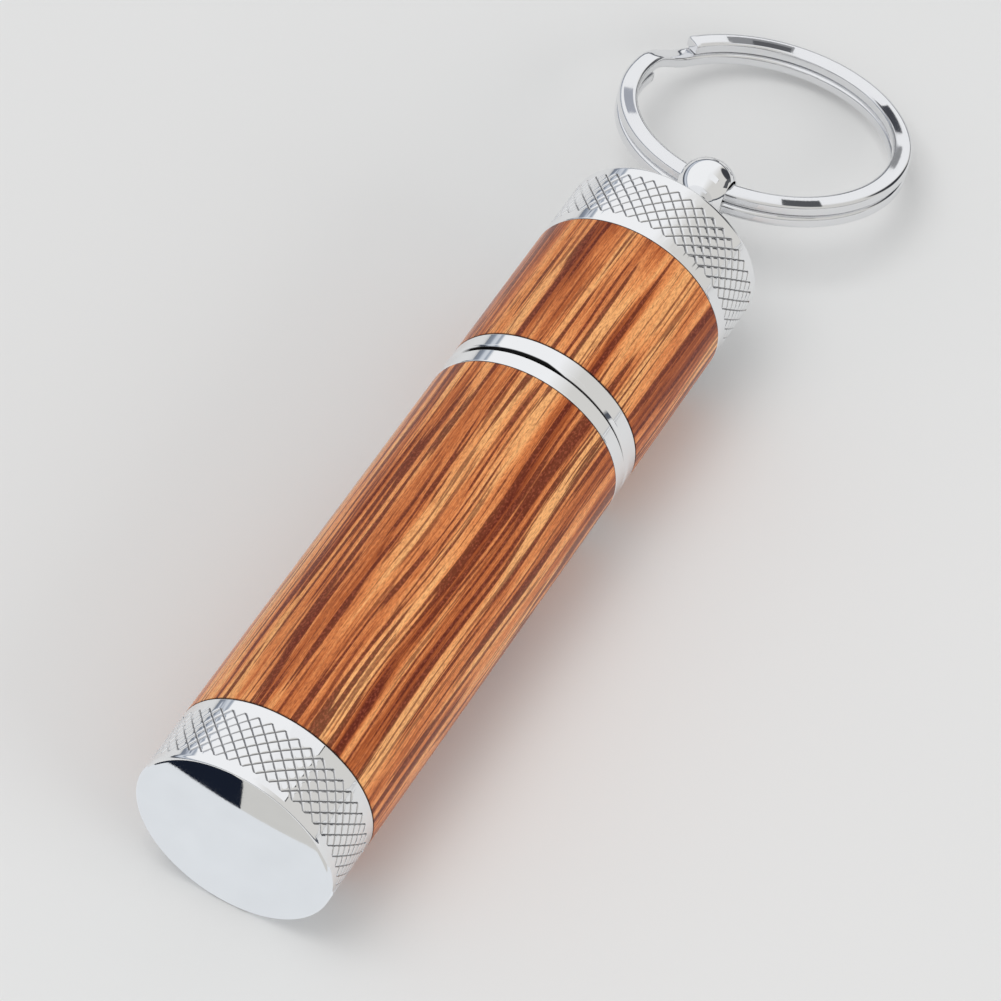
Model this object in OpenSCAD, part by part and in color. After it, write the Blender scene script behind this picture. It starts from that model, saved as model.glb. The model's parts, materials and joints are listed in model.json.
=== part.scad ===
// Keychain flashlight: a capsule of two wooden barrels between chromed fittings.
// The long barrel holds an AAA cell, the light head stands out of the centre coupler,
// and the short barrel is a screwed cap that covers the head and carries the key ring.
// Millimetres. The body lies along +X, from the polished end towards the key ring, on z = 0.
// Every "s" value is a station along the body's axis, from the lower collar's joint with the wood.

/* [Body] */
// Outside diameter of the body, flush from end to end
body_d = 19; // [18.5:0.5:21]
// Length of the knurled collar at the polished end
lower_collar_l = 7.2; // [7:0.1:9]
// Length of the long wooden barrel
lower_wood_l = 43.1; // [43.1:0.1:46]
// Length of each of the two chrome bands at the centre
band_l = 1.8; // [1.5:0.1:2.5]
// Length of the short wooden barrel
upper_wood_l = 15.8; // [15.8:0.1:20]
// Length of the knurled collar at the key ring's end
upper_collar_l = 7.4; // [7:0.1:9]
// How far the polished end swells past its rim
crown_h = 0.5; // [0.2:0.1:0.8]
// How far the key ring's end swells past its rim
dome_h = 2.8; // [2:0.1:2.8]

/* [Key ring] */
// Diameter of the ball on the stud
ball_d = 5.8; // [5.6:0.1:6.2]
// Distance from the collar's rim to the ball's centre
ball_reach = 8.3; // [8:0.1:10]
// Outside diameter of the split ring
ring_d = 28; // [26:0.5:32]
// Radial width of the ring's wire
wire_w = 1.85; // [1.6:0.05:1.9]
// Thickness of the two turns of wire together
ring_t = 2.6; // [2:0.1:2.6]
// How far the ring droops below the body's axis
ring_droop = 16; // [0:1:17]

/* [Threads] */
// Travel of the cap for one turn
cap_lead = 4; // [3:0.5:5]
// Gap that the head closes as it is screwed in to light the lamp
switch_gap = 0.3; // [0.25:0.05:0.4]

/* [Hidden] */

round_fn = 120;
body_r = body_d / 2;
edge_break = 0.1;
rim_round = 0.4;

// Stations along the axis
s_rim = -lower_collar_l;
s_apex = s_rim - crown_h;
s_band_a = lower_wood_l;
s_parting = s_band_a + band_l;
s_band_b = s_parting + band_l;
s_collar = s_band_b + upper_wood_l;
s_top_rim = s_collar + upper_collar_l;
s_ball = s_top_rim + ball_reach;

// Parting groove between the two chrome bands
groove_w = 0.36;
groove_depth = 0.4;
parting_gap = 0.02;

// Brass tubes inside the wood
tube_r = 7.8;
tube_bore_r = 7.3;
tenon_l = 6;
tenon_chamfer = 0.3;

// Battery compartment: an AAA cell, 10.5 mm across and 44.5 mm long
cell_r = 5.25;
cell_can_l = 43.3;
cell_base_r = 3.4;
cell_base_t = 0.2;
terminal_r = 1.9;
terminal_l = 1;
cell_edge = 0.4;
s_pocket = -4.4;
pocket_r = 5.7;
s_cell = -1.0;
s_can_end = s_cell + cell_base_t + cell_can_l;
s_terminal = s_can_end + terminal_l;

// Tail spring
spring_wire_r = 0.3;
spring_base_r = 4.6;
spring_tip_r = 3.2;
spring_turns = 4;
spring_steps = 20;

// Lower coupler: tenon, contact shoulder, head bore and male spigot
coupler_tenon_l = 7;
cell_bore_r = 5.35;
shank_bore_r = 5.55;
spigot_r = 6.3;
spigot_l = 6;
head_seal_s = s_band_a + 0.4;
head_seal_w = 1;
head_seal_r = 6.35;
s_shoulder = s_band_a - 0.6;

// O-rings
seal_wire_r = 0.4;
slip = 0.02;

// Light head
shank_r = 5.5;
s_shank = s_shoulder + switch_gap;
s_flange = s_parting + spigot_l + 0.35;
housing_r = 6.1;
housing_bore_r = 5.45;
shank_inner_r = 4.9;
s_led_seat = s_flange + 1.2;
s_housing_end = s_flange + 8.4;
bezel_l = 1.8;
s_bezel_end = s_housing_end + bezel_l;
board_r = 4.85;
s_board = s_band_a + 1.1;
board_t = 0.8;
pad_r = 1.6;
led_board_t = 1.2;
lens_r = 5.4;
lens_t = 1.2;
s_lens = s_housing_end - 0.3;
lens_opening_r = 4.7;

// Upper coupler: female bore and tenon
cap_bore_r = spigot_r + 0.05;
cap_seal_recess_r = 7.25;
cap_seal_recess_l = 0.95;
cap_tenon_l = 6.5;

// Upper end cap and the stud through it
cap_tenon_bore_r = 6.6;
cap_tenon_depth = 5.5;
s_cap_floor = s_top_rim - 2.5;
stud_bore_r = 1.6;
stud_r = 1.55;
neck_r = 1.5;
stud_flange_r = 2.4;
stud_flange_t = 0.7;
s_dome = s_top_rim + dome_h;
clip_t = 0.45;
washer_t = 0.4;
washer_r = 3.2;
play = 0.05;
s_washer = s_cap_floor - play - washer_t;
s_clip = s_washer - play - clip_t;
clip_groove_r = 1.05;
clip_r = 2.6;
s_stud_tail = s_clip - 0.6;

// Ball and split ring
ball_r = ball_d / 2;
ring_hole_r = 1.7;
ring_hole_chamfer = 0.25;
ring_r = ring_d / 2;
ring_inner_r = ring_r - wire_w;
ring_mean_r = (ring_r + ring_inner_r) / 2;
ring_offset = ring_mean_r - 0.3;
coil_gap = 0.04;
coil_t = (ring_t - coil_gap) / 2;
coil_edge = 0.2;
coil_end = 57;
coil_ramp = 24;
coil_clear = 3;
coil_step = 5;

// The body's box in X, which the origin stands in the middle of
x_low = s_apex;
x_high = s_ball + (ring_offset + ring_r) * cos(ring_droop) + (ring_t / 2 - coil_edge) * sin(ring_droop);
x_mid = (x_low + x_high) / 2;

// ---- Helpers ----

// Stands a shape drawn about Z on the body's axis, so that its z is a station
module on_axis() {
    translate([-x_mid, 0, body_r]) rotate([0, 90, 0]) children();
}

// A turned piece from its profile of [radius, station] points
module turned(profile) {
    on_axis() rotate_extrude($fn = round_fn) polygon(profile);
}

// A plain ring or sleeve between two radii and two stations
module sleeve(inner, outer, s0, s1) {
    turned([[inner, s0], [outer, s0], [outer, s1], [inner, s1]]);
}

// A disc with its edges slightly broken
module disc(r, s0, s1, edge) {
    turned([[0, s0], [r - edge, s0], [r, s0 + edge], [r, s1 - edge], [r - edge, s1], [0, s1]]);
}

// A rubber ring of round section
module o_ring(inner, wire_r, s) {
    on_axis() rotate_extrude($fn = round_fn) translate([inner + wire_r, s]) circle(r = wire_r, $fn = 40);
}

// Points on a shallow cap that swells by h over radius r, from the axis outwards
function swell(r, h, steps = 10) =
    let (q = (r * r + h * h) / (2 * h))
    [for (i = [0:steps]) let (x = r * i / steps) [x, sqrt(q * q - x * x) - (q - h)]];

// Points on a rounded corner
function corner(x, y, r, from, to, steps = 5) =
    [for (i = [0:steps]) let (a = from + (to - from) * i / steps) [x + r * cos(a), y + r * sin(a)]];

// A solid skinned over a row of closed sections
module skin(sections) {
    m = len(sections[0]);
    n = len(sections);
    walls = [
        for (i = [0:n - 2], j = [0:m - 1])
        let (k = (j + 1) % m)
        [i * m + j, (i + 1) * m + j, (i + 1) * m + k, i * m + k]
    ];
    start = [for (j = [0:m - 1]) j];
    end = [for (j = [m - 1:-1:0]) (n - 1) * m + j];
    polyhedron(points = [for (s = sections) each s], faces = concat([start], walls, [end]), convexity = 8);
}

// One section of a coil: [radial, axial] offsets placed at an angle, a radius and a height
function coil_section(outline, a, r, z) = [for (p = outline) [(r + p.x) * cos(a), (r + p.x) * sin(a), z + p.y]];

// ---- Long barrel ----

module lower_end_cap() {
    crown = [for (p = swell(body_r - rim_round, crown_h)) [p.x, s_rim - p.y]];
    color("gainsboro") turned(concat(
        crown,
        corner(body_r - rim_round, s_rim + rim_round, rim_round, -90, 0),
        [
            [body_r, -edge_break], [body_r - edge_break, 0],
            [tube_bore_r, 0], [tube_bore_r, tenon_l - tenon_chamfer], [tube_bore_r - tenon_chamfer, tenon_l],
            [pocket_r, tenon_l], [pocket_r, s_pocket], [0, s_pocket]
        ]
    ));
}

module wood_barrel(s0, s1) {
    color("peru") turned([
        [tube_r, s0], [body_r - edge_break, s0], [body_r, s0 + edge_break],
        [body_r, s1 - edge_break], [body_r - edge_break, s1], [tube_r, s1]
    ]);
}

module lower_wood_barrel() {
    wood_barrel(0, s_band_a);
}

module lower_brass_tube() {
    color("goldenrod") sleeve(tube_bore_r, tube_r, 0, s_band_a);
}

module lower_coupler() {
    s_tenon = s_band_a - coupler_tenon_l;
    color("gainsboro") turned([
        [cell_bore_r, s_tenon], [tube_bore_r - tenon_chamfer, s_tenon], [tube_bore_r, s_tenon + tenon_chamfer],
        [tube_bore_r, s_band_a], [body_r - edge_break, s_band_a], [body_r, s_band_a + edge_break],
        [body_r, s_parting - groove_w], [body_r - groove_depth, s_parting],
        [spigot_r, s_parting], [spigot_r, s_parting + spigot_l - tenon_chamfer],
        [spigot_r - tenon_chamfer, s_parting + spigot_l], [shank_bore_r, s_parting + spigot_l],
        [shank_bore_r, head_seal_s + head_seal_w], [head_seal_r, head_seal_s + head_seal_w],
        [head_seal_r, head_seal_s], [shank_bore_r, head_seal_s],
        [shank_bore_r, s_shoulder], [cell_bore_r, s_shoulder]
    ]);
}

module battery_sleeve() {
    color("dimgray") sleeve(cell_r + 0.1, tube_bore_r - play, tenon_l + 0.1, s_band_a - coupler_tenon_l - 0.1);
}

module tail_spring() {
    wire = [for (i = [0:7]) [spring_wire_r * cos(-45 * i), spring_wire_r * sin(-45 * i)]];
    last = spring_turns * spring_steps;
    z0 = s_pocket + slip + spring_wire_r;
    z1 = s_cell - slip - spring_wire_r;
    rise = [for (i = [0:last]) min(max((i / spring_steps - 0.75) / (spring_turns - 1.5), 0), 1)];
    color("silver") on_axis() skin([
        for (i = [0:last])
        coil_section(wire, 360 * i / spring_steps, spring_base_r + (spring_tip_r - spring_base_r) * i / last,
            z0 + (z1 - z0) * rise[i])
    ]);
}

module battery_cell() {
    s_base = s_cell + cell_base_t;
    color("darkslateblue") turned([
        [0, s_cell], [cell_base_r, s_cell], [cell_base_r, s_base],
        [cell_r - cell_edge, s_base], [cell_r, s_base + cell_edge],
        [cell_r, s_can_end - cell_edge], [cell_r - cell_edge, s_can_end], [0, s_can_end]
    ]);
}

module battery_terminal() {
    color("silver") disc(terminal_r, s_can_end, s_terminal, 0.2);
}

// ---- Light head ----

module head_o_ring() {
    color("black") o_ring(shank_r + slip, seal_wire_r, head_seal_s + head_seal_w / 2);
}

module head_housing() {
    color("gray") turned([
        [shank_inner_r, s_shank], [shank_r, s_shank], [shank_r, s_flange],
        [housing_r - edge_break, s_flange], [housing_r, s_flange + edge_break],
        [housing_r, s_housing_end - 1], [housing_bore_r + 0.35, s_housing_end - 1],
        [housing_bore_r + 0.35, s_housing_end - play],
        [housing_bore_r, s_housing_end - play], [housing_bore_r, s_led_seat], [shank_inner_r, s_led_seat]
    ]);
}

module driver_board() {
    color("darkgreen") disc(board_r, s_board, s_board + board_t, edge_break);
    // Driver chip and two passives on the board's far face
    color("black") on_axis() translate([0, 0, s_board + board_t]) {
        translate([-1.5, -1.2, 0]) cube([3, 2.4, 0.9]);
        translate([-1.2, 2.1, 0]) cube([2.4, 1.2, 0.7]);
        translate([-1.2, -3.3, 0]) cube([2.4, 1.2, 0.7]);
    }
}

module contact_pad() {
    color("gold") disc(pad_r, s_terminal + play, s_board, edge_break);
}

module board_retaining_ring() {
    color("silver") sleeve(3.6, board_r, s_board - 0.9, s_board);
}

module led_board() {
    color("lightgray") disc(housing_bore_r - play, s_led_seat, s_led_seat + led_board_t, edge_break);
}

module led_emitter() {
    s0 = s_led_seat + led_board_t;
    base = 3.4;
    base_t = 0.5;
    dome_r = 1.3;
    color("khaki") on_axis() translate([0, 0, s0]) {
        translate([-base / 2, -base / 2, 0]) cube([base, base, base_t]);
        translate([0, 0, base_t - 0.3]) intersection() {
            sphere(r = dome_r, $fn = 64);
            cylinder(r = dome_r + 1, h = dome_r + 1, $fn = 64);
        }
    }
}

module reflector_insulator() {
    s0 = s_led_seat + led_board_t;
    color("white") sleeve(2.6, housing_bore_r - play, s0, s0 + 0.5);
}

module reflector() {
    s0 = s_led_seat + led_board_t + 0.5;
    s1 = s_lens;
    throat_r = 2.4;
    mouth_r = 5.0;
    steps = 10;
    // Inner parabola, from its throat to its mouth
    bowl = [
        for (i = [0:steps])
        let (r = mouth_r + (throat_r - mouth_r) * i / steps)
        [r, s0 + (s1 - s0) * (r * r - throat_r * throat_r) / (mouth_r * mouth_r - throat_r * throat_r)]
    ];
    color("white") turned(concat(
        [[3.0, s0], [housing_bore_r - play, s0 + 2.4], [housing_bore_r - play, s1]],
        bowl
    ));
}

module lens() {
    color([0.8, 0.9, 1, 0.4]) disc(lens_r, s_lens, s_lens + lens_t, edge_break);
}

module lens_gasket() {
    color("black") sleeve(lens_opening_r + 0.1, lens_r, s_lens + lens_t, s_lens + lens_t + 0.25);
}

module bezel_ring() {
    s_lip = s_lens + lens_t + 0.25;
    color("silver") turned([
        [housing_bore_r + 0.35, s_housing_end - 1], [housing_r, s_housing_end - 1],
        [housing_r, s_bezel_end - 0.4], [housing_r - 0.4, s_bezel_end],
        [lens_opening_r + 0.5, s_bezel_end], [lens_opening_r, s_lip], [lens_r + play, s_lip],
        [lens_r + play, s_housing_end], [housing_bore_r + 0.35, s_housing_end]
    ]);
}

// ---- Cap ----

module coupler_o_ring() {
    color("black") o_ring(spigot_r + slip, seal_wire_r, s_parting + 0.05 + seal_wire_r);
}

module upper_coupler() {
    s_face = s_parting + parting_gap;
    s_recess = s_face + cap_seal_recess_l;
    s_tenon_end = s_band_b + cap_tenon_l;
    color("gainsboro") turned([
        [cap_seal_recess_r, s_face], [body_r - groove_depth, s_face], [body_r, s_face + groove_w],
        [body_r, s_band_b - edge_break], [body_r - edge_break, s_band_b],
        [tube_bore_r, s_band_b], [tube_bore_r, s_tenon_end - tenon_chamfer],
        [tube_bore_r - tenon_chamfer, s_tenon_end], [cap_bore_r, s_tenon_end],
        [cap_bore_r, s_recess], [cap_seal_recess_r, s_recess]
    ]);
}

module upper_wood_barrel() {
    wood_barrel(s_band_b, s_collar);
}

module upper_brass_tube() {
    color("goldenrod") sleeve(tube_bore_r, tube_r, s_band_b, s_collar);
}

module upper_end_cap() {
    dome = [for (p = swell(body_r - rim_round, dome_h)) if (p.x > stud_bore_r) [p.x, s_top_rim + p.y]];
    outside = [for (i = [len(dome) - 1:-1:0]) dome[i]];
    s_tenon = s_collar - cap_tenon_depth;
    color("gainsboro") turned(concat(
        [
            [stud_bore_r, s_cap_floor], [cap_tenon_bore_r, s_cap_floor], [cap_tenon_bore_r, s_tenon],
            [tube_bore_r - tenon_chamfer, s_tenon], [tube_bore_r, s_tenon + tenon_chamfer],
            [tube_bore_r, s_collar], [body_r - edge_break, s_collar], [body_r, s_collar + edge_break]
        ],
        corner(body_r - rim_round, s_top_rim - rim_round, rim_round, 0, 90),
        outside,
        [[stud_flange_r, s_dome - 0.1], [stud_bore_r, s_dome - 0.1]]
    ));
}

module stud_washer() {
    color("white") sleeve(stud_r + 0.1, washer_r, s_washer, s_cap_floor - play);
}

// ---- Ball stud and key ring ----

module ball_stud() {
    s_flange0 = s_dome - 0.1 + play;
    s_flange1 = s_flange0 + stud_flange_t;
    color("gainsboro") difference() {
        union() {
            turned([
                [0, s_stud_tail], [stud_r - 0.2, s_stud_tail], [stud_r, s_stud_tail + 0.2],
                [stud_r, s_clip], [clip_groove_r, s_clip], [clip_groove_r, s_clip + clip_t],
                [stud_r, s_clip + clip_t], [stud_r, s_flange0],
                [stud_flange_r, s_flange0], [stud_flange_r, s_flange1 - 0.3], [stud_flange_r - 0.3, s_flange1],
                [neck_r, s_flange1 + 0.2], [neck_r, s_ball], [0, s_ball]
            ]);
            on_axis() translate([0, 0, s_ball]) sphere(r = ball_r, $fn = 96);
        }
        // Cross-hole for the split ring, with a broken edge at each mouth
        on_axis() translate([0, 0, s_ball]) rotate([90, 0, 0]) {
            cylinder(r = ring_hole_r, h = 3 * ball_r, center = true, $fn = 64);
            for (side = [0, 1]) mirror([0, 0, side])
                translate([0, 0, sqrt(ball_r * ball_r - pow(ring_hole_r + ring_hole_chamfer, 2)) - 0.2])
                    cylinder(r1 = ring_hole_r - 0.05, r2 = ring_hole_r + 0.75, h = 0.8, $fn = 64);
        }
    }
}

module stud_clip() {
    color("silver") difference() {
        sleeve(clip_groove_r, clip_r, s_clip, s_clip + clip_t);
        on_axis() translate([0, -0.8, s_clip - 1]) cube([clip_r + 1, 1.6, clip_t + 2]);
    }
}

module split_ring() {
    half_w = wire_w / 2;
    half_t = coil_t / 2;
    e = coil_edge;
    wire = [
        [half_w, half_t - e], [half_w - e, half_t], [e - half_w, half_t], [-half_w, half_t - e],
        [-half_w, e - half_t], [e - half_w, -half_t], [half_w - e, -half_t], [half_w, e - half_t]
    ];
    // The wire runs on the lower layer, climbs past its own end and runs on the upper layer
    a_start = coil_end + coil_ramp + coil_clear;
    a_climb = 360 + coil_end + coil_clear;
    a_stop = 720 + coil_end;
    layer = (coil_t + coil_gap) / 2;
    steps = ceil((a_stop - a_start) / coil_step);
    color("lightgray") on_axis() translate([0, 0, s_ball]) rotate([0, -90, 0]) rotate([0, ring_droop, 0])
        translate([ring_offset, 0, 0]) skin([
            for (i = [0:steps])
            let (
                a = a_start + (a_stop - a_start) * i / steps,
                u = min(max((a - a_climb) / coil_ramp, 0), 1)
            )
            coil_section(wire, a, ring_mean_r, layer * (2 * u * u * (3 - 2 * u) - 1))
        ]);
}

lower_end_cap();
lower_wood_barrel();
lower_brass_tube();
lower_coupler();
battery_sleeve();
tail_spring();
battery_cell();
battery_terminal();
head_o_ring();
head_housing();
driver_board();
contact_pad();
board_retaining_ring();
led_board();
led_emitter();
reflector_insulator();
reflector();
lens();
lens_gasket();
bezel_ring();
coupler_o_ring();
upper_coupler();
upper_wood_barrel();
upper_brass_tube();
upper_end_cap();
stud_washer();
ball_stud();
stud_clip();
split_ring();
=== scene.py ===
"""Keychain flashlight: two lacquered wooden barrels between knurled chrome fittings.

Everything is in metres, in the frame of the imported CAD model: +X runs along the body's axis from the
polished end to the key ring, and +Z is up. Stations and radii come from the boxes of the CAD nodes.
"""

import json
import math

import bmesh
import bpy
from mathutils import Matrix, Vector


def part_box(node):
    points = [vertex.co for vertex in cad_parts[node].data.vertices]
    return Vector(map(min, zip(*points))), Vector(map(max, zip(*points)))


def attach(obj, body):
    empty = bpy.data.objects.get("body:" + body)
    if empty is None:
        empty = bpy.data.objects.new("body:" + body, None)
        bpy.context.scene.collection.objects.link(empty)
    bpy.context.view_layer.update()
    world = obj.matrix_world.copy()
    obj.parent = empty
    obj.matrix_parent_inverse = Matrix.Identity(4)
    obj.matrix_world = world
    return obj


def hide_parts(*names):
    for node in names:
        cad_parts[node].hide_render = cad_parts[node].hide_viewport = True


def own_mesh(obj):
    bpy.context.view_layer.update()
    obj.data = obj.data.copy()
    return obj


MM = 0.001
TAU = 2 * math.pi

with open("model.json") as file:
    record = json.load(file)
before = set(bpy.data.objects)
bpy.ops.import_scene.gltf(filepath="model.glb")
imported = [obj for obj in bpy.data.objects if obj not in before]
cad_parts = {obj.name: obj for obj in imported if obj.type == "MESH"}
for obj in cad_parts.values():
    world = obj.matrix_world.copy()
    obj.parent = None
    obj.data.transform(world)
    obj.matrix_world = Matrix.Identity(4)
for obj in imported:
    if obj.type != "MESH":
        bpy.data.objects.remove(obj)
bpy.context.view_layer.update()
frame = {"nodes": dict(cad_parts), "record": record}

# ---------------------------------------------------------------- dimensions from the frame


def low_x(node):
    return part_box(node)[0][0]


def high_x(node):
    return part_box(node)[1][0]


def half_width(node):
    low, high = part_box(node)
    return (high[1] - low[1]) / 2


BODY_R = half_width("lower_wood_barrel")
AXIS_Z = BODY_R
TUBE_R = half_width("lower_brass_tube")
TUBE_WALL = 0.5 * MM
TENON_R = TUBE_R - TUBE_WALL

X_APEX = low_x("lower_end_cap")
X_WOOD_A = low_x("lower_wood_barrel")
X_BAND_A = high_x("lower_wood_barrel")
X_BAND_B = low_x("upper_wood_barrel")
X_PARTING = (X_BAND_A + X_BAND_B) / 2
X_COLLAR_B = high_x("upper_wood_barrel")
X_DOME = high_x("upper_end_cap")

# The knurling starts a little way from the wood on each collar
KNURL_COUNT = 46
KNURL_ROWS = 4
KNURL_LENGTH = 5.09 * MM
KNURL_START = 1.15 * MM
KNURL_DEPTH = 0.12 * MM

# The parting groove between the bands, a V in section
GROOVE_HALF = 0.36 * MM
GROOVE_DEPTH = 0.36 * MM

BALL_LOW, BALL_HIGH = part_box("ball_stud")
BALL_R = (BALL_HIGH[2] - BALL_LOW[2]) / 2
X_BALL = BALL_HIGH[0] - BALL_R
HOLE_R = 1.65 * MM

# The key ring: two turns of flat wire, one over the other, drooping from the hole in the ball
RING_DROOP = math.radians(16)
RING_T = 2.6 * MM
WIRE_W = 1.85 * MM
WIRE_SQUARENESS = 3.8
RING_MEAN_R = half_width("split_ring") - WIRE_W / 2
RING_OFFSET = RING_MEAN_R - 0.3 * MM
COIL_GAP = 0.04 * MM
COIL_T = (RING_T - COIL_GAP) / 2

# ---------------------------------------------------------------- mesh helpers

# Vertices closer together than this become one
WELD = 1e-7
# How far beyond a rounded corner its extra rings stand, as a share of its radius
SUPPORT = 0.2


def on_ring(x, radius, angle):
    """A point at an angle about the body's axis, from straight up."""
    return (x, -radius * math.sin(angle), AXIS_Z + radius * math.cos(angle))


def add_ring(bm, x, radius, angles):
    """The vertices of one ring, or of its single point on the axis. radius may be a function of the angle."""
    if radius == 0:
        return [bm.verts.new((x, 0, AXIS_Z))]
    return [bm.verts.new(on_ring(x, radius(a) if callable(radius) else radius, a)) for a in angles]


def join_rings(bm, a, b):
    """Faces between two closed rings, either of which may be a single point."""
    count = max(len(a), len(b))
    for i in range(count):
        j = (i + 1) % count
        corners = [a[i % len(a)], a[j % len(a)], b[j % len(b)], b[i % len(b)]]
        corners = list(dict.fromkeys(corners))
        if len(corners) > 2:
            bm.faces.new(corners)


def add_surface(bm, rings, angles):
    """A surface skinned over rings given as (x, radius)."""
    rows = [add_ring(bm, x, radius, angles) for x, radius in rings]
    for a, b in zip(rows, rows[1:]):
        join_rings(bm, a, b)


def even_angles(count):
    """Angles spaced evenly round a circle."""
    return [TAU * i / count for i in range(count)]


def finish_mesh(bm, name, material, sharp=40):
    """Welds the mesh, turns its faces outwards and makes it an object that is smooth up to an angle."""
    bmesh.ops.remove_doubles(bm, verts=bm.verts, dist=WELD)
    bmesh.ops.recalc_face_normals(bm, faces=bm.faces)
    mesh = bpy.data.meshes.new(name)
    bm.to_mesh(mesh)
    bm.free()
    mesh.polygons.foreach_set("use_smooth", [True] * len(mesh.polygons))
    mesh.set_sharp_from_angle(angle=math.radians(sharp))
    mesh.materials.append(material)
    piece = bpy.data.objects.new(name, mesh)
    bpy.context.scene.collection.objects.link(piece)
    return piece


def rounded(corners, steps=4):
    """A profile's points with its corners rounded. A corner is (x, r) or (x, r, rounding radius)."""
    points = []
    for i, corner in enumerate(corners):
        here = Vector(corner[:2])
        if len(corner) < 3:
            points.append(tuple(here))
            continue
        size = corner[2]
        before = (Vector(corners[i - 1][:2]) - here).normalized()
        after = (Vector(corners[(i + 1) % len(corners)][:2]) - here).normalized()
        half = before.angle(after) / 2
        centre = here + (before + after).normalized() * size / math.sin(half)
        start = here + before * size / math.tan(half) - centre
        end = here + after * size / math.tan(half) - centre
        # An extra ring on either side keeps the flats flat when the corner is shaded smooth
        points.append(tuple(centre + start + before * size * SUPPORT))
        for k in range(steps + 1):
            between = start.lerp(end, k / steps).normalized() * size
            points.append(tuple(centre + between))
        points.append(tuple(centre + end + after * size * SUPPORT))
    return points


def turned(name, corners, material, segments=160, sharp=40):
    """A turned piece. Its profile ends on the axis if it starts there, and closes on itself otherwise."""
    bm = bmesh.new()
    rings = rounded(corners)
    if rings[0][1] > 0:
        rings = rings + [rings[0]]
    add_surface(bm, rings, even_angles(segments))
    return finish_mesh(bm, name, material, sharp)


def swell(x, radius, height, steps=14):
    """Profile points of a shallow spherical cap, from its rim to its apex on the axis."""
    sphere = (radius * radius + height * height) / (2 * abs(height))
    sign = math.copysign(1, height)
    points = []
    for i in range(steps, -1, -1):
        r = radius * i / steps
        points.append((x + sign * (math.sqrt(sphere * sphere - r * r) - (sphere - abs(height))), r))
    return points


# ---------------------------------------------------------------- material helpers

# The grain of polishing runs along X: how fast it varies along each axis, per mm, and how deep it is
POLISH_GRAIN = (0.4, 6, 6)
POLISH_BUMP = 0.0006 * MM


class Nodes:
    """A short way to build a node tree. add gives the new node, and the sums and textures its output socket."""

    def __init__(self, tree):
        self.tree = tree
        tree.nodes.clear()

    def add(self, kind, inputs=None, **settings):
        """A node of any kind, its inputs linked to sockets or set to values. A colour may be three numbers."""
        node = self.tree.nodes.new("ShaderNode" + kind)
        for key, value in settings.items():
            setattr(node, key, value)
        for key, value in (inputs or {}).items():
            self.connect(value, node.inputs[key])
        return node

    def connect(self, value, socket):
        if isinstance(value, bpy.types.NodeSocket):
            self.tree.links.new(value, socket)
        elif socket.type == "RGBA":
            socket.default_value = (*value, 1)
        else:
            socket.default_value = value

    def maths(self, operation, a, b=0.0):
        return self.add("Math", {0: a, 1: b}, operation=operation).outputs[0]

    def plus(self, a, b):
        return self.maths("ADD", a, b)

    def minus(self, a, b):
        return self.maths("SUBTRACT", a, b)

    def times(self, a, b):
        return self.maths("MULTIPLY", a, b)

    def larger(self, a, b):
        return self.maths("MAXIMUM", a, b)

    def scaled(self, vector, scale):
        return self.add("VectorMath", {0: vector, 1: scale}, operation="MULTIPLY").outputs[0]

    def noise(self, vector, scale=1.0, detail=2.0, roughness=0.5):
        settings = {"Vector": vector, "Scale": scale, "Detail": detail, "Roughness": roughness}
        return self.add("TexNoise", settings).outputs[0]

    def ramp(self, factor, stops):
        """A colour ramp over stops given as (position, colour)."""
        node = self.add("ValToRGB", {0: factor})
        elements = node.color_ramp.elements
        while len(elements) < len(stops):
            elements.new(0.5)
        for element, (position, colour) in zip(elements, stops):
            element.position = position
            element.color = (*colour, 1)
        return node.outputs[0]

    def remap(self, value, low, high, out_low=0.0, out_high=1.0):
        """The value's place between low and high, held to the range between the two outputs."""
        settings = {"Value": value, "From Min": low, "From Max": high, "To Min": out_low, "To Max": out_high}
        return self.add("MapRange", settings).outputs[0]

    def mix(self, factor, a, b):
        """The colour a where the factor is 0, and b where it is 1."""
        # The node's colour sockets follow those for numbers and vectors
        return self.add("Mix", {0: factor, 6: a, 7: b}, data_type="RGBA").outputs[2]

    def bump(self, height, distance, strength=1.0):
        return self.add("Bump", {"Height": height, "Distance": distance, "Strength": strength}).outputs[0]


def srgb(r, g, b):
    """A colour given as the 0 to 255 values that a display shows, as linear light."""
    def linear(v):
        v = v / 255
        return v / 12.92 if v <= 0.04045 else ((v + 0.055) / 1.055) ** 2.4
    return (linear(r), linear(g), linear(b))


def new_material(name):
    """A material with a Principled shader, and the object's own coordinates in millimetres."""
    material = bpy.data.materials.new(name)
    material.use_nodes = True
    nodes = Nodes(material.node_tree)
    shader = nodes.add("BsdfPrincipled")
    nodes.add("OutputMaterial", {"Surface": shader.outputs[0]})
    where = nodes.add("TexCoord").outputs["Object"]
    mm = nodes.scaled(where, (1 / MM, 1 / MM, 1 / MM))
    return material, nodes, shader, mm


def plug(nodes, shader, **values):
    """Sets or links the shader's sockets. An underscore stands for a space."""
    for key, value in values.items():
        nodes.connect(value, shader.inputs[key.replace("_", " ")])


def shade(colour, share):
    """The same colour, darker."""
    return tuple(c * share for c in colour)


def polish(nodes, mm, low, high, grain=POLISH_GRAIN):
    """Fine lines, broad clouds, and the roughness of metal worn by both."""
    lines = nodes.noise(nodes.scaled(mm, grain), detail=4, roughness=0.6)
    clouds = nodes.noise(nodes.scaled(mm, (0.15, 0.15, 0.15)), detail=2)
    return lines, clouds, nodes.remap(nodes.times(lines, clouds), 0.1, 0.45, low, high)


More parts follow.
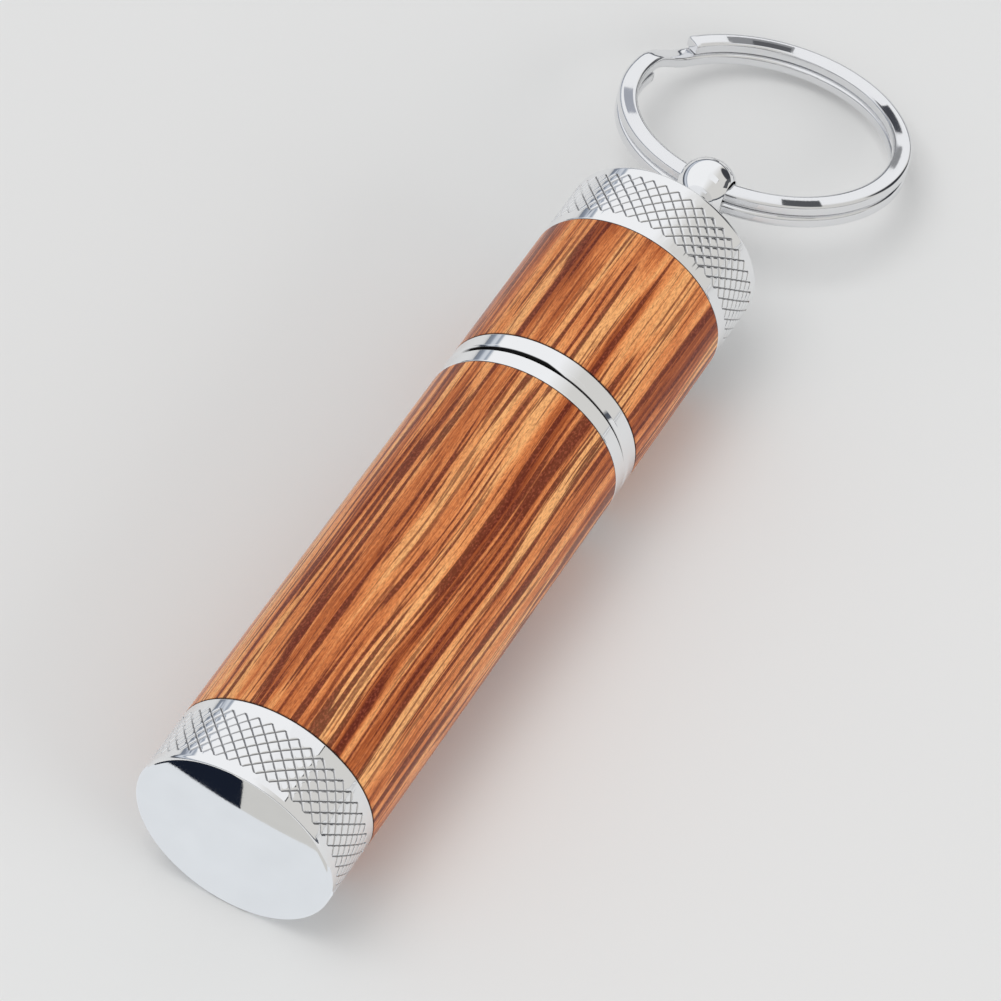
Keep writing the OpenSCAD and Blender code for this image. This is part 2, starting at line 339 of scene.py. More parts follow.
def metal(name, colour, low, high, grain=POLISH_GRAIN, bump=POLISH_BUMP, tint=0.04):
    """Polished or turned metal. Its roughness runs from low to high, and its tint varies slightly."""
    material, nodes, shader, mm = new_material(name)
    lines, clouds, rough = polish(nodes, mm, low, high, grain)
    plug(nodes, shader, Metallic=1.0, Base_Color=nodes.mix(clouds, shade(colour, 1 - tint), colour),
         Roughness=rough, Normal=nodes.bump(lines, bump))
    return material


def plastic(name, colour, roughness, bump=0.01 * MM):
    """Moulded plastic or rubber: a fine even texture with slightly uneven colour and sheen."""
    material, nodes, shader, mm = new_material(name)
    spread = 0.08
    fine = nodes.noise(mm, scale=8.0, detail=3)
    clouds = nodes.noise(mm, scale=0.5, detail=2)
    plug(nodes, shader, Base_Color=nodes.mix(clouds, shade(colour, 0.88), colour),
         Roughness=nodes.remap(fine, 0.3, 0.7, roughness - spread, roughness + spread),
         Normal=nodes.bump(fine, bump))
    return material


# ---------------------------------------------------------------- materials

CHROME_COLOUR = (0.90, 0.905, 0.915)
CHROME_ROUGHNESS = (0.015, 0.06)

# The painted shade in a cut, in mm. It sets in over a little depth, all round the body but for the far side.
# An uneven painted shade gets deeper, and so narrower, from the top towards the near side.
CUT_FADE = 0.06
CUT_SLACK = 0.01
FAR_SIDE_Y = (7.6, 6.7)
NEAR_SIDE_Y = (-0.8, -2.6)


def chrome_with_painted_cut_shade(name, stretches, depth, darkest, clear=0.1, uneven=0.0):
    """Bright chrome, dull and darkened by painted shade in the bottom of the cuts within the given stretches of X.

    clear is the share of a cut's depth that stays bright, and uneven is how much more of it does on the near side.
    """
    material, nodes, shader, mm = new_material(name)
    lines, clouds, rough = polish(nodes, mm, *CHROME_ROUGHNESS)
    x, y, z = nodes.add("SeparateXYZ", {0: mm}).outputs
    height = nodes.minus(z, AXIS_Z / MM)
    radius = nodes.maths("SQRT", nodes.plus(nodes.times(y, y), nodes.times(height, height)))
    bright_r = (BODY_R - clear * depth) / MM
    deeper = nodes.remap(y, *NEAR_SIDE_Y, 0.0, uneven * depth / MM)
    below = nodes.remap(nodes.plus(radius, deeper), bright_r, bright_r - CUT_FADE)
    below = nodes.times(below, nodes.remap(y, *FAR_SIDE_Y))
    # The bores far below the cuts stay bright, without the painted shade
    above_bores = nodes.remap(radius, (BODY_R - 3 * depth) / MM, (BODY_R - 2 * depth) / MM)
    within = None
    for low, high in stretches:
        middle, half = (low + high) / 2 / MM, (high - low) / 2 / MM
        gap = nodes.maths("ABSOLUTE", nodes.minus(x, middle))
        inside = nodes.maths("LESS_THAN", gap, half + CUT_SLACK)
        within = inside if within is None else nodes.larger(within, inside)
    # Painted shade: the bottoms of the cuts are darkened, but not on the far side
    painted_cut_shade = nodes.times(nodes.times(below, above_bores), within)
    unshaded_chrome = nodes.mix(clouds, (0.865, 0.87, 0.88), CHROME_COLOUR)
    plug(nodes, shader, Metallic=1.0, Base_Color=nodes.mix(painted_cut_shade, unshaded_chrome, shade((0.9, 0.9, 0.92), darkest)),
         Roughness=nodes.plus(rough, nodes.times(painted_cut_shade, 0.2)), Normal=nodes.bump(lines, POLISH_BUMP))
    return material


def wood_material():
    """Lacquered striped hardwood. The grain is solid and runs along X, so both barrels share it."""
    material, nodes, shader, mm = new_material("striped_wood")
    # The grain wanders a little on its way along the barrel
    drift = nodes.noise(nodes.scaled(mm, (0.032, 0.10, 0.10)), detail=1)
    across = nodes.scaled(drift, (0.0, 1.5, 1.5))
    sway = nodes.add("VectorMath", {0: mm, 1: across}, operation="ADD").outputs[0]
    fibres = nodes.noise(nodes.scaled(sway, (0.16, 7.0, 7.0)), detail=3, roughness=0.7)
    # Broad lighter and darker bands of growth
    bands = nodes.noise(nodes.scaled(sway, (0.028, 0.55, 0.55)), detail=2)
    tone = nodes.plus(nodes.times(bands, 0.72), nodes.times(fibres, 0.28))
    body = nodes.ramp(tone, [
        (0.34, srgb(142, 66, 32)), (0.405, srgb(184, 98, 50)), (0.465, srgb(220, 131, 75)),
        (0.525, srgb(244, 160, 97)), (0.60, srgb(255, 186, 120)),
    ])
    # Dark red-brown streaks with crisp, slightly ragged edges, speckled with finish
    ragged = nodes.times(nodes.minus(fibres, 0.5), 0.20)
    wide = nodes.noise(nodes.scaled(sway, (0.036, 1.75, 1.75)), detail=2, roughness=0.4)
    thin = nodes.noise(nodes.scaled(sway, (0.070, 3.5, 3.5)), detail=1, roughness=0.4)
    wide_mask = nodes.remap(nodes.plus(wide, ragged), 0.540, 0.580)
    thin_mask = nodes.remap(nodes.plus(thin, ragged), 0.570, 0.620)
    streak = nodes.larger(nodes.times(wide_mask, 0.88), nodes.times(thin_mask, 0.66))
    speckle = nodes.noise(nodes.scaled(mm, (3.2, 6.0, 6.0)), detail=1)
    ink = nodes.mix(nodes.remap(speckle, 0.48, 0.66), srgb(86, 22, 12), srgb(136, 64, 46))
    streaked = nodes.mix(streak, body, ink)
    # Open pores show as short dark dashes
    pores = nodes.noise(nodes.scaled(mm, (0.9, 9.0, 9.0)), detail=1, roughness=0.5)
    pore_mask = nodes.remap(pores, 0.65, 0.72)
    pored = nodes.mix(nodes.times(pore_mask, 0.38), streaked, srgb(74, 28, 20))
    # Small flecks darken the whole surface unevenly
    flecks = nodes.noise(nodes.scaled(mm, (2.0, 7.5, 7.5)), detail=2, roughness=0.65)
    flecked = nodes.mix(nodes.remap(flecks, 0.58, 0.34, 0.0, 0.42), pored, srgb(112, 50, 30))
    # The end grain soaked up finish where each barrel meets the metal
    x = nodes.add("SeparateXYZ", {0: mm}).outputs[0]
    edge = None
    for station in (X_WOOD_A, X_BAND_A, X_BAND_B, X_COLLAR_B):
        gap = nodes.maths("ABSOLUTE", nodes.minus(x, station / MM))
        near = nodes.remap(gap, 0.16, 0.04)
        edge = near if edge is None else nodes.larger(edge, near)
    finished = nodes.mix(edge, flecked, srgb(34, 14, 10))
    relief = nodes.minus(fibres, pore_mask)
    plug(nodes, shader, Base_Color=finished, Roughness=nodes.remap(fibres, 0.3, 0.7, 0.42, 0.55),
         Normal=nodes.bump(relief, 0.006 * MM, 0.4), Specular_IOR_Level=0.05,
         Coat_Weight=0.6, Coat_Roughness=0.1, Coat_IOR=1.25)
    return material


def jacket_material():
    """The cell's printed jacket: dark, with a metallic band towards its positive end."""
    material, nodes, shader, mm = new_material("cell_jacket")
    x = nodes.add("SeparateXYZ", {0: mm}).outputs[0]
    band_length = 12
    start = high_x("battery_cell") / MM - band_length
    band = nodes.remap(x, start, start + 0.05)
    foil = nodes.noise(mm, scale=3.0, detail=2)
    colour = nodes.mix(band, (0.02, 0.024, 0.03), (0.55, 0.30, 0.10))
    plug(nodes, shader, Base_Color=colour, Metallic=nodes.times(band, 0.9),
         Roughness=nodes.remap(foil, 0.3, 0.7, 0.2, 0.32))
    return material


def board_material():
    """Green solder mask with the faint relief of the tracks under it."""
    material, nodes, shader, mm = new_material("circuit_board")
    tracks = nodes.add("TexBrick", {"Vector": mm, "Scale": 1.6, "Mortar Size": 0.06}).outputs[1]
    colour = nodes.mix(tracks, (0.01, 0.12, 0.04), (0.03, 0.2, 0.08))
    plug(nodes, shader, Base_Color=colour, Roughness=0.35, Normal=nodes.bump(tracks, 0.02 * MM))
    return material


def lens_material():
    """Clear polished glass with a faint coating colour."""
    material, nodes, shader, mm = new_material("lens_glass")
    haze = nodes.noise(mm, scale=0.7, detail=3)
    plug(nodes, shader, Base_Color=(0.96, 0.98, 1.0), Transmission_Weight=1.0, IOR=1.5,
         Roughness=nodes.remap(haze, 0.3, 0.8, 0.0, 0.03))
    return material


def phosphor_material():
    """Yellow phosphor seen through a clear silicone dome."""
    material, nodes, shader, mm = new_material("phosphor")
    grain = nodes.noise(mm, scale=12.0, detail=2)
    colour = nodes.mix(grain, (0.80, 0.50, 0.05), (0.95, 0.72, 0.18))
    plug(nodes, shader, Base_Color=colour, Roughness=0.4, Coat_Weight=1.0, Coat_Roughness=0.03)
    return material


CHROME = metal("chrome", CHROME_COLOUR, *CHROME_ROUGHNESS)
# The knurl's grooves and the parting groove get painted shade in their bottoms
KNURLED_CHROME = chrome_with_painted_cut_shade("knurled_chrome", [
    (X_WOOD_A - KNURL_START - KNURL_LENGTH, X_WOOD_A - KNURL_START),
    (X_COLLAR_B + KNURL_START, X_COLLAR_B + KNURL_START + KNURL_LENGTH),
], KNURL_DEPTH, darkest=0.45)
BAND_CHROME = chrome_with_painted_cut_shade("band_chrome", [
    (X_PARTING - GROOVE_HALF, X_PARTING + GROOVE_HALF),
], GROOVE_DEPTH, darkest=0.01, clear=0.25, uneven=0.5)
RING_STEEL = metal("ring_steel", (0.84, 0.845, 0.86), 0.04, 0.12, bump=0.001 * MM)
WOOD = wood_material()
BRASS = metal("brass", (0.80, 0.58, 0.26), 0.18, 0.35)
SPRING_STEEL = metal("spring_steel", (0.62, 0.63, 0.65), 0.15, 0.3)
NICKEL = metal("nickel", (0.75, 0.74, 0.72), 0.1, 0.25)
GOLD = metal("contact_gold", (0.92, 0.68, 0.28), 0.12, 0.25)
ALUMINIUM = metal("bare_aluminium", (0.80, 0.81, 0.82), 0.2, 0.4, grain=(6, 0.6, 0.6))
ANODISED = metal("anodised", (0.11, 0.115, 0.125), 0.25, 0.42, grain=(9, 0.4, 0.4), bump=0.002 * MM,
                 tint=0.15)
SILVERED = metal("silvered", (0.93, 0.94, 0.95), 0.01, 0.05)
SLEEVE = plastic("sleeve_plastic", (0.04, 0.04, 0.045), 0.4)
RUBBER = plastic("rubber", (0.02, 0.02, 0.022), 0.55, bump=0.02 * MM)
GASKET = plastic("insulator", (0.85, 0.85, 0.82), 0.5)
NYLON = plastic("nylon", (0.80, 0.79, 0.74), 0.4)
JACKET = jacket_material()
BOARD = board_material()
GLASS = lens_material()
PHOSPHOR = phosphor_material()

SLOT_MATERIALS = {
    "chrome": CHROME, "ring_steel": RING_STEEL, "wood": WOOD, "brass": BRASS, "spring_steel": SPRING_STEEL,
    "cell_jacket": JACKET, "cell_metal": NICKEL, "sleeve_plastic": SLEEVE, "rubber": RUBBER,
    "anodised": ANODISED, "circuit_board": BOARD, "contact_gold": GOLD, "bare_aluminium": ALUMINIUM,
    "emitter": PHOSPHOR, "insulator": GASKET, "reflector": SILVERED, "lens": GLASS, "nylon": NYLON,
}


def dress_cad_nodes():
    """Gives each CAD node the material of its slot in the record."""
    for row in frame["record"]["subparts"]:
        mesh = frame["nodes"][row["node"]].data
        mesh.materials.clear()
        mesh.materials.append(SLOT_MATERIALS[row["material_slot"]])


# ---------------------------------------------------------------- camera, stage and light

CAMERA_AZIMUTH = -65.72
CAMERA_ELEVATION = 51.46
CAMERA_ROLL = 5.91
CAMERA_DISTANCE = 0.5118
CAMERA_TARGET = (-0.0235, -0.00684, 0.02546)
CAMERA_LENS = 218.8
SENSOR_WIDTH = 36

FLOOR_HALF = 6.0

TENT_WHITE = (0.95, 0.957, 0.968)
TENT_BEIGE = (0.70, 0.69, 0.665)

# How finely a smear's card is divided, along the wire and across it
SMEAR_ROWS = 8
SMEAR_COLUMNS = 6


def camera_back():
    """The direction from the target back to the camera."""
    azimuth = math.radians(CAMERA_AZIMUTH)
    elevation = math.radians(CAMERA_ELEVATION)
    return Vector((math.sin(azimuth) * math.cos(elevation), -math.cos(azimuth) * math.cos(elevation),
                   math.sin(elevation)))


def make_camera():
    back = camera_back()
    data = bpy.data.cameras.new("camera")
    data.lens = CAMERA_LENS
    data.sensor_width = SENSOR_WIDTH
    data.clip_start = 0.01
    camera = bpy.data.objects.new("camera", data)
    bpy.context.scene.collection.objects.link(camera)
    aim = back.to_track_quat("Z", "Y").to_matrix().to_4x4()
    roll = Matrix.Rotation(math.radians(CAMERA_ROLL), 4, "Z")
    camera.matrix_world = Matrix.Translation(Vector(CAMERA_TARGET) + back * CAMERA_DISTANCE) @ aim @ roll
    bpy.context.scene.camera = camera


def make_floor():
    """A pale floor without any gloss, so that it mirrors none of the cards."""
    material, nodes, shader, mm = new_material("floor_paint")
    clouds = nodes.noise(mm, scale=0.01, detail=2)
    plug(nodes, shader, Base_Color=nodes.mix(clouds, (0.80, 0.80, 0.795), (0.83, 0.83, 0.825)),
         Roughness=1.0, Specular_IOR_Level=0.0)
    bm = bmesh.new()
    bmesh.ops.create_grid(bm, x_segments=4, y_segments=4, size=FLOOR_HALF)
    floor = finish_mesh(bm, "floor", material)


def dark_spot(nodes, direction, colour, towards, degrees, dark):
    """The same sky with a soft-edged dark opening in it, that many degrees from its middle to its edge."""
    softness = 0.02
    aim = tuple(Vector(towards).normalized())
    match = nodes.add("VectorMath", {0: direction, 1: aim}, operation="DOT_PRODUCT").outputs["Value"]
    edge = math.cos(math.radians(degrees))
    inside = nodes.remap(match, edge, edge + softness)
    return nodes.mix(inside, colour, dark)


def hang_card(bm, name, colour):
    """A panel that only shows up as a reflection in the polished metal."""
    material, nodes, shader, mm = new_material(name + "_light")
    uneven = nodes.noise(nodes.scaled(mm, (0.25, 0.25, 0.25)), detail=2)
    plug(nodes, shader, Base_Color=(0.0, 0.0, 0.0), Roughness=1.0, Specular_IOR_Level=0.0,
         Emission_Color=nodes.mix(uneven, shade(colour, 0.92), colour), Emission_Strength=1.0)
    card = finish_mesh(bm, name, material)
    card.visible_camera = False
    card.visible_diffuse = False
    card.visible_shadow = False
    card.visible_transmission = False


def make_card(name, corners, colour, height=0.2):
    """A level card. Its corners, as (x, y), and its height are in mm."""
    bm = bmesh.new()
    bm.faces.new([bm.verts.new((x * MM, y * MM, height * MM)) for x, y in corners])
    hang_card(bm, name, colour)


def ring_place():
    """Where the key ring's own centre and plane are at rest."""
    return (Matrix.Translation((X_BALL, 0, AXIS_Z)) @ Matrix.Rotation(RING_DROOP, 4, "Y")
            @ Matrix.Translation((RING_OFFSET, 0, 0)))


def make_smear(name, start, stop, inner, outer, colour, reach):
    """A dark card where the key ring's upper face mirrors it to the camera.

    It fills the face between two angles round the ring, and between two places across the wire from -1 on its
    inner side to 1 on its outer side. It hangs reach mm from the wire.
    """
    eye = Vector(CAMERA_TARGET) + camera_back() * CAMERA_DISTANCE
    place = ring_place()
    turn = place.to_3x3()
    up = Vector((0, 0, 1))
    bm = bmesh.new()
    rows = []
    for i in range(SMEAR_ROWS + 1):
        a = math.radians(start + (stop - start) * i / SMEAR_ROWS)
        outward = Vector((math.cos(a), math.sin(a), 0))
        row = []
        for j in range(SMEAR_COLUMNS + 1):
            u = inner + (outer - inner) * j / SMEAR_COLUMNS
            spot = place @ (outward * (RING_MEAN_R + u * WIRE_W / 2) + up * RING_T / 2)
            # How far the crowned face leans outwards there
            height = (1 - abs(u) ** WIRE_SQUARENESS) ** (1 / WIRE_SQUARENESS)
            lean = math.copysign(COIL_T / WIRE_W * (abs(u) / height) ** (WIRE_SQUARENESS - 1), u)
            normal = (turn @ (outward * lean + up)).normalized()
            view = (eye - spot).normalized()
            mirrored = 2 * normal.dot(view) * normal - view
            row.append(bm.verts.new(spot + mirrored * reach * MM))
        rows.append(row)
    for a, b in zip(rows, rows[1:]):
        for j in range(SMEAR_COLUMNS):
            bm.faces.new((a[j], a[j + 1], b[j + 1], b[j]))
    hang_card(bm, name, colour)


def make_end_cards():
    """What the polished end mirrors: white floor, and beyond a bent edge a dark gap and a grey panel."""
    edge = [(-66.8, -9.0), (-67.85, 0.4), (-68.2, 4.4), (-68.4, 9.6), (-68.35, 30.0)]
    near_end = (-65.5, -30)
    far_split = (-100, 14.6)
    make_card("white_card", [(-50, -30), (-50, 30)] + edge[::-1] + [near_end], (0.815, 0.845, 0.875))
    make_card("dark_card", edge[2:] + [(-100, 30), far_split], (0.010, 0.014, 0.026))
    make_card("grey_card", [near_end] + edge[:3] + [far_split, (-100, -30)], (0.66, 0.655, 0.63))


def make_ring_cards():
    """Dark gaps between the lights, which the upper face of the key ring mirrors as smears."""
    make_smear("smear_far", 13, 42, -0.85, 0.20, (0.30, 0.305, 0.315), 8)
    make_smear("smear_far_core", 14, 31, -0.85, -0.25, (0.12, 0.122, 0.13), 7)
    make_smear("smear_right", 302, 322, -0.85, 0.05, (0.07, 0.073, 0.085), 8)
    make_smear("smear_right_low", 274, 292, -0.85, -0.15, (0.30, 0.305, 0.315), 8)
    make_smear("smear_near", 211, 227, 0.10, 0.88, (0.10, 0.103, 0.11), 5)
    make_smear("smear_left", 112, 130, -0.45, 0.55, (0.42, 0.44, 0.49), 8)


def make_overhead_cards():
    """A white panel overhead with a dark edge, which the end collar mirrors."""
    height = 168
    edge_y = -121.8
    make_card("overhead_card", [(20, 0), (91, 0), (91, edge_y), (20, edge_y)], TENT_WHITE, height)
    make_card("overhead_edge", [(60, edge_y), (91, edge_y), (91, -127), (60, -127)], (0.03, 0.03, 0.03), height)


def make_world():
    """A white tent whose panels run along X, with dark gaps where they meet, as in a product studio."""
    world = bpy.data.worlds.new("tent")
    world.use_nodes = True
    bpy.context.scene.world = world
    nodes = Nodes(world.node_tree)
    direction = nodes.add("TexCoord").outputs["Generated"]
    x, y, z = nodes.add("SeparateXYZ", {0: direction}).outputs
    angle = nodes.maths("ARCTAN2", nodes.times(y, -1.0), z)
    # The angle about X as 0 to 1: 0.25 is the horizon on the far side, 0.5 is overhead, 0.75 is the near horizon
    turn = nodes.remap(angle, -math.pi, math.pi)

    def at(degrees):
        return (degrees + 180) / 360

    panels = nodes.ramp(turn, [
        (at(-94), TENT_WHITE), (at(-90.5), (0.20, 0.225, 0.27)), (at(-83.5), (0.26, 0.29, 0.35)),
        (at(-81), (0.58, 0.62, 0.68)), (at(-76.5), (0.68, 0.71, 0.76)), (at(-74.5), (0.33, 0.37, 0.44)),
        (at(-72.5), (0.40, 0.44, 0.50)), (at(-70), TENT_WHITE), (at(2), TENT_WHITE), (at(30), TENT_BEIGE),
        (at(87.5), TENT_BEIGE), (at(88.5), (0.45, 0.46, 0.47)), (at(90), TENT_WHITE),
    ])
    # A dark gap just above the table, all round but for a stretch on each side of the key ring's end
    ends = nodes.larger(nodes.remap(x, 0.70, 0.78), nodes.remap(x, 0.42, 0.34))
    level = nodes.times(nodes.remap(z, -0.03, 0.0), nodes.remap(z, 0.12, 0.07))
    panels = nodes.mix(nodes.times(ends, level), panels, (0.09, 0.10, 0.12))
    # A dark opening that the ball mirrors
    panels = dark_spot(nodes, direction, panels, (0.86, -0.44, 0.27), 19, (0.05, 0.052, 0.06))
    path = nodes.add("LightPath")
    spread = nodes.mix(path.outputs["Is Diffuse Ray"], panels, (0.62, 0.625, 0.63))
    colour = nodes.mix(path.outputs["Is Camera Ray"], spread, (0.72, 0.72, 0.715))
    background = nodes.add("Background", {"Color": colour, "Strength": 1.0})
    nodes.add("OutputWorld", {"Surface": background.outputs[0]})


def make_light(name, place, size, power):
    """A rectangular light that faces the origin and isn't seen in reflections."""
    data = bpy.data.lights.new(name, "AREA")
    data.shape = "RECTANGLE"
    data.size, data.size_y = size
    data.energy = power
    light = bpy.data.objects.new(name, data)
    aim = Vector(place).to_track_quat("Z", "Y").to_matrix().to_4x4()
    light.matrix_world = Matrix.Translation(place) @ aim
    light.visible_glossy = False
    bpy.context.scene.collection.objects.link(light)


# ---------------------------------------------------------------- knurled collars

# Loops of one diamond, as (share of its size, depth below the crests)
KNURL_LOOPS = ((1.0, KNURL_DEPTH), (0.80, 0.012 * MM), (0.70, 0.0), (0.35, 0.0), (0.0, 0.0))
EDGE_STEPS = 3
COLLAR_EDGE = 0.1 * MM
RIM_ROUND = 0.4 * MM
RIM_STEPS = 6
TENON_CHAMFER = 0.3 * MM


def knurl_angles():
    """The angles round the collar at which the end of the knurling needs a vertex."""
    step = TAU / KNURL_COUNT
    shares = [share for share, depth in KNURL_LOOPS]
    offsets = [-k for k in shares] + list(reversed(shares[1:-1]))
    return [step * (i + 0.5 + k / 2) for i in range(KNURL_COUNT) for k in offsets]


def diamond_path(half):
    """Offsets along a diamond's edges from its right corner: all round for 0, or half round for 1 and -1."""
    corners = [(1, 0), (0, 1), (-1, 0), (0, -1), (1, 0)]
    if half:
        corners = corners[:3] if half > 0 else corners[2:]
    path = []
    for (u0, w0), (u1, w1) in zip(corners, corners[1:]):
        for k in range(EDGE_STEPS):
            t = k / EDGE_STEPS
            path.append((u0 + (u1 - u0) * t, w0 + (w1 - w0) * t))
    if half:
        path.append(corners[-1])
    return path


def add_knurl(bm, x0, direction):
    """Diamonds with raised flat lands. Half diamonds cut the pattern off square at both its ends."""
    step = TAU / KNURL_COUNT
    row_half = KNURL_LENGTH / KNURL_ROWS / 2
    for row in range(2 * KNURL_ROWS + 1):
        half = 1 if row == 0 else -1 if row == 2 * KNURL_ROWS else 0
        path = diamond_path(half)
        for i in range(KNURL_COUNT):
            middle = step * (i + (0.5 if row % 2 == 0 else 0.0))
            loops = []
            for share, depth in KNURL_LOOPS:
                points = path if share > 0 else [(0, 0)]
                radius = BODY_R - depth
                loop = []
                for u, w in points:
                    a = middle + share * u * step / 2
                    x = x0 + direction * (row + share * w) * row_half
                    loop.append(bm.verts.new(on_ring(x, radius, a)))
                loops.append(loop)
            for outer, inner in zip(loops, loops[1:]):
                span = len(outer) if not half else len(outer) - 1
                for k in range(span):
                    n = (k + 1) % len(outer)
                    corners = [outer[k], outer[n], inner[n % len(inner)], inner[k % len(inner)]]
                    bm.faces.new(list(dict.fromkeys(corners)))


def knurl_end_radius(angle):
    """The radius of the knurling's cut-off end at an angle, between one groove and the next."""
    share = abs((angle * KNURL_COUNT / TAU) % 1.0 - 0.5) * 2
    for (outer, deep), (inner, shallow) in zip(KNURL_LOOPS, KNURL_LOOPS[1:]):
        if share >= inner:
            return BODY_R - (shallow + (deep - shallow) * (share - inner) / (outer - inner))
    return BODY_R


def collar(name, x_joint, direction, hidden, end):
    """A collar turned from one piece: hidden is the profile up to the joint, end is from the rim round."""
    bm = bmesh.new()
    angles = knurl_angles()
    x_start = x_joint + direction * KNURL_START
    x_end = x_start + direction * KNURL_LENGTH
    near = hidden + rounded([(x_joint, TENON_R), (x_joint, BODY_R, COLLAR_EDGE), (x_start, BODY_R)])[1:]
    add_surface(bm, near + [(x_start, knurl_end_radius)], angles)
    add_knurl(bm, x_start, direction)
    add_surface(bm, [(x_end, knurl_end_radius), (x_end, BODY_R)] + end, angles)
    return finish_mesh(bm, name, KNURLED_CHROME, sharp=45)


def rim_points(x_rim, direction):
    """The rounded rim of a collar, from the cylinder to the end face."""
    lead_in = 1.15
    points = [(x_rim - direction * RIM_ROUND * lead_in, BODY_R)]
    for k in range(RIM_STEPS + 1):
        a = math.pi / 2 * k / RIM_STEPS
        points.append((x_rim - direction * RIM_ROUND * (1 - math.sin(a)),
                       BODY_R - RIM_ROUND * (1 - math.cos(a))))
    return points


def make_lower_collar():
    """The collar with the polished, slightly crowned end, hollowed for the tail spring."""
    crown = 0.5 * MM
    x_rim = X_APEX + crown
    x_tenon = high_x("lower_end_cap")
    x_pocket = low_x("tail_spring") - 0.02 * MM
    pocket_r = 5.7 * MM
    hidden = [(x_pocket, 0), (x_pocket, pocket_r), (x_tenon, pocket_r), (x_tenon, TENON_R - TENON_CHAMFER),
              (x_tenon - TENON_CHAMFER, TENON_R), (X_WOOD_A, TENON_R)]
    end = rim_points(x_rim, -1) + swell(x_rim, BODY_R - RIM_ROUND, -crown)[1:]
    piece = collar("knurled_end_collar", X_WOOD_A, -1, hidden, end)
    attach(piece, "barrel")
    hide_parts("lower_end_cap")


def make_upper_collar():
    """The collar with the domed end that holds the ball stud."""
    dome = 2.8 * MM
    x_rim = X_DOME - dome + 0.1 * MM
    x_tenon = low_x("upper_end_cap")
    x_floor = high_x("stud_washer") + 0.05 * MM
    bore_r = 6.6 * MM
    stud_bore_r = 1.6 * MM
    hidden = [(X_DOME, stud_bore_r), (x_floor, stud_bore_r), (x_floor, bore_r), (x_tenon, bore_r),
              (x_tenon, TENON_R - TENON_CHAMFER), (x_tenon + TENON_CHAMFER, TENON_R), (X_COLLAR_B, TENON_R)]
    # The dome is cut off flat round the stud
    cap = [(x, r) for x, r in swell(x_rim, BODY_R - RIM_ROUND, dome)[1:] if r > stud_bore_r and x < X_DOME]
    end = rim_points(x_rim, 1) + cap + [(X_DOME, cap[-1][1] - 0.1 * MM), (X_DOME, stud_bore_r)]
    piece = collar("knurled_ring_collar", X_COLLAR_B, 1, hidden, end)
    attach(piece, "cap")
    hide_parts("upper_end_cap")


# ---------------------------------------------------------------- barrels and couplers

# Roundings of edges, and the gap between the bands where the cap closes
WOOD_EDGE = 0.14 * MM
BAND_EDGE = 0.1 * MM
GROOVE_EDGE = 0.05 * MM
COUPLER_TENON_EDGE = 0.2 * MM
PARTING_GAP = 0.02 * MM

# The thread between the couplers
CAP_LEAD = 4 * MM
CAP_STARTS = 4
THREAD_DEPTH = 0.3 * MM


def make_barrel(name, node, body):
    """A wooden barrel, bored to its brass tube."""
    x0, x1 = low_x(node), high_x(node)
    piece = turned(name, [
        (x0, TUBE_R), (x0, BODY_R, WOOD_EDGE), (x1, BODY_R, WOOD_EDGE), (x1, TUBE_R)
    ], WOOD, segments=240)
    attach(piece, body)
    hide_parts(node)


def thread_rings(x0, x1, crest, depth, lead, starts, steps=14):
    """Rings of a helical thread between two stations. A negative depth cuts outwards, as in a nut."""
    pitch = lead / starts
    count = max(2, round(abs(x1 - x0) / pitch * steps))
    # Sloping flanks with a flat crest and a flat root, running out in two thirds of a pitch at each end
    flank, root, run_out = 2.6, 1.25, 1.5
    rings = []
    for i in range(count + 1):
        x = x0 + (x1 - x0) * i / count
        fade = min(1.0, run_out * min(i, count - i) / steps)

        def radius(angle, x=x, fade=fade):
            phase = (x / pitch - starts * angle / TAU) % 1.0
            groove = max(0.0, 1 - abs(phase - 0.5) * flank)
            return crest - depth * fade * min(1.0, groove * root)

        rings.append((x, radius))
    return rings


def threaded_piece(name, rings, material, segments):
    """A piece from rings that are already rounded, its profile closed on itself."""
    bm = bmesh.new()
    add_surface(bm, rings + [rings[0]], even_angles(segments))
    return finish_mesh(bm, name, material)


def coupler(name, rings):
    return threaded_piece(name, rings, BAND_CHROME, 192)


def make_lower_coupler():
    """The band on the long barrel, with the threaded spigot that the cap screws on."""
    x_end = high_x("lower_coupler")
    x_tenon = low_x("lower_coupler")
    spigot_r = 6.3 * MM
    spigot_chamfer = 0.3 * MM
    bore_r = 5.55 * MM
    cell_bore_r = 5.35 * MM
    x_shoulder = X_BAND_A - 0.6 * MM
    x_thread = X_PARTING + 0.9 * MM
    seal_low, seal_high = X_BAND_A + 0.4 * MM, X_BAND_A + 1.4 * MM
    seal_r = 6.35 * MM
    band = rounded([
        (x_tenon, cell_bore_r), (x_tenon, TENON_R, COUPLER_TENON_EDGE), (X_BAND_A, TENON_R),
        (X_BAND_A, BODY_R, BAND_EDGE), (X_PARTING - GROOVE_HALF, BODY_R, GROOVE_EDGE),
        (X_PARTING, BODY_R - GROOVE_DEPTH),
    ])
    neck = [(X_PARTING, spigot_r), (x_thread, spigot_r)]
    thread = thread_rings(x_thread, x_end - spigot_chamfer, spigot_r, THREAD_DEPTH, CAP_LEAD, CAP_STARTS)
    inside = [
        (x_end, spigot_r - spigot_chamfer), (x_end, bore_r), (seal_high, bore_r), (seal_high, seal_r),
        (seal_low, seal_r), (seal_low, bore_r), (x_shoulder, bore_r), (x_shoulder, cell_bore_r)
    ]
    piece = coupler("barrel_coupler", band + neck + thread + inside)
    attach(piece, "barrel")
    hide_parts("lower_coupler")


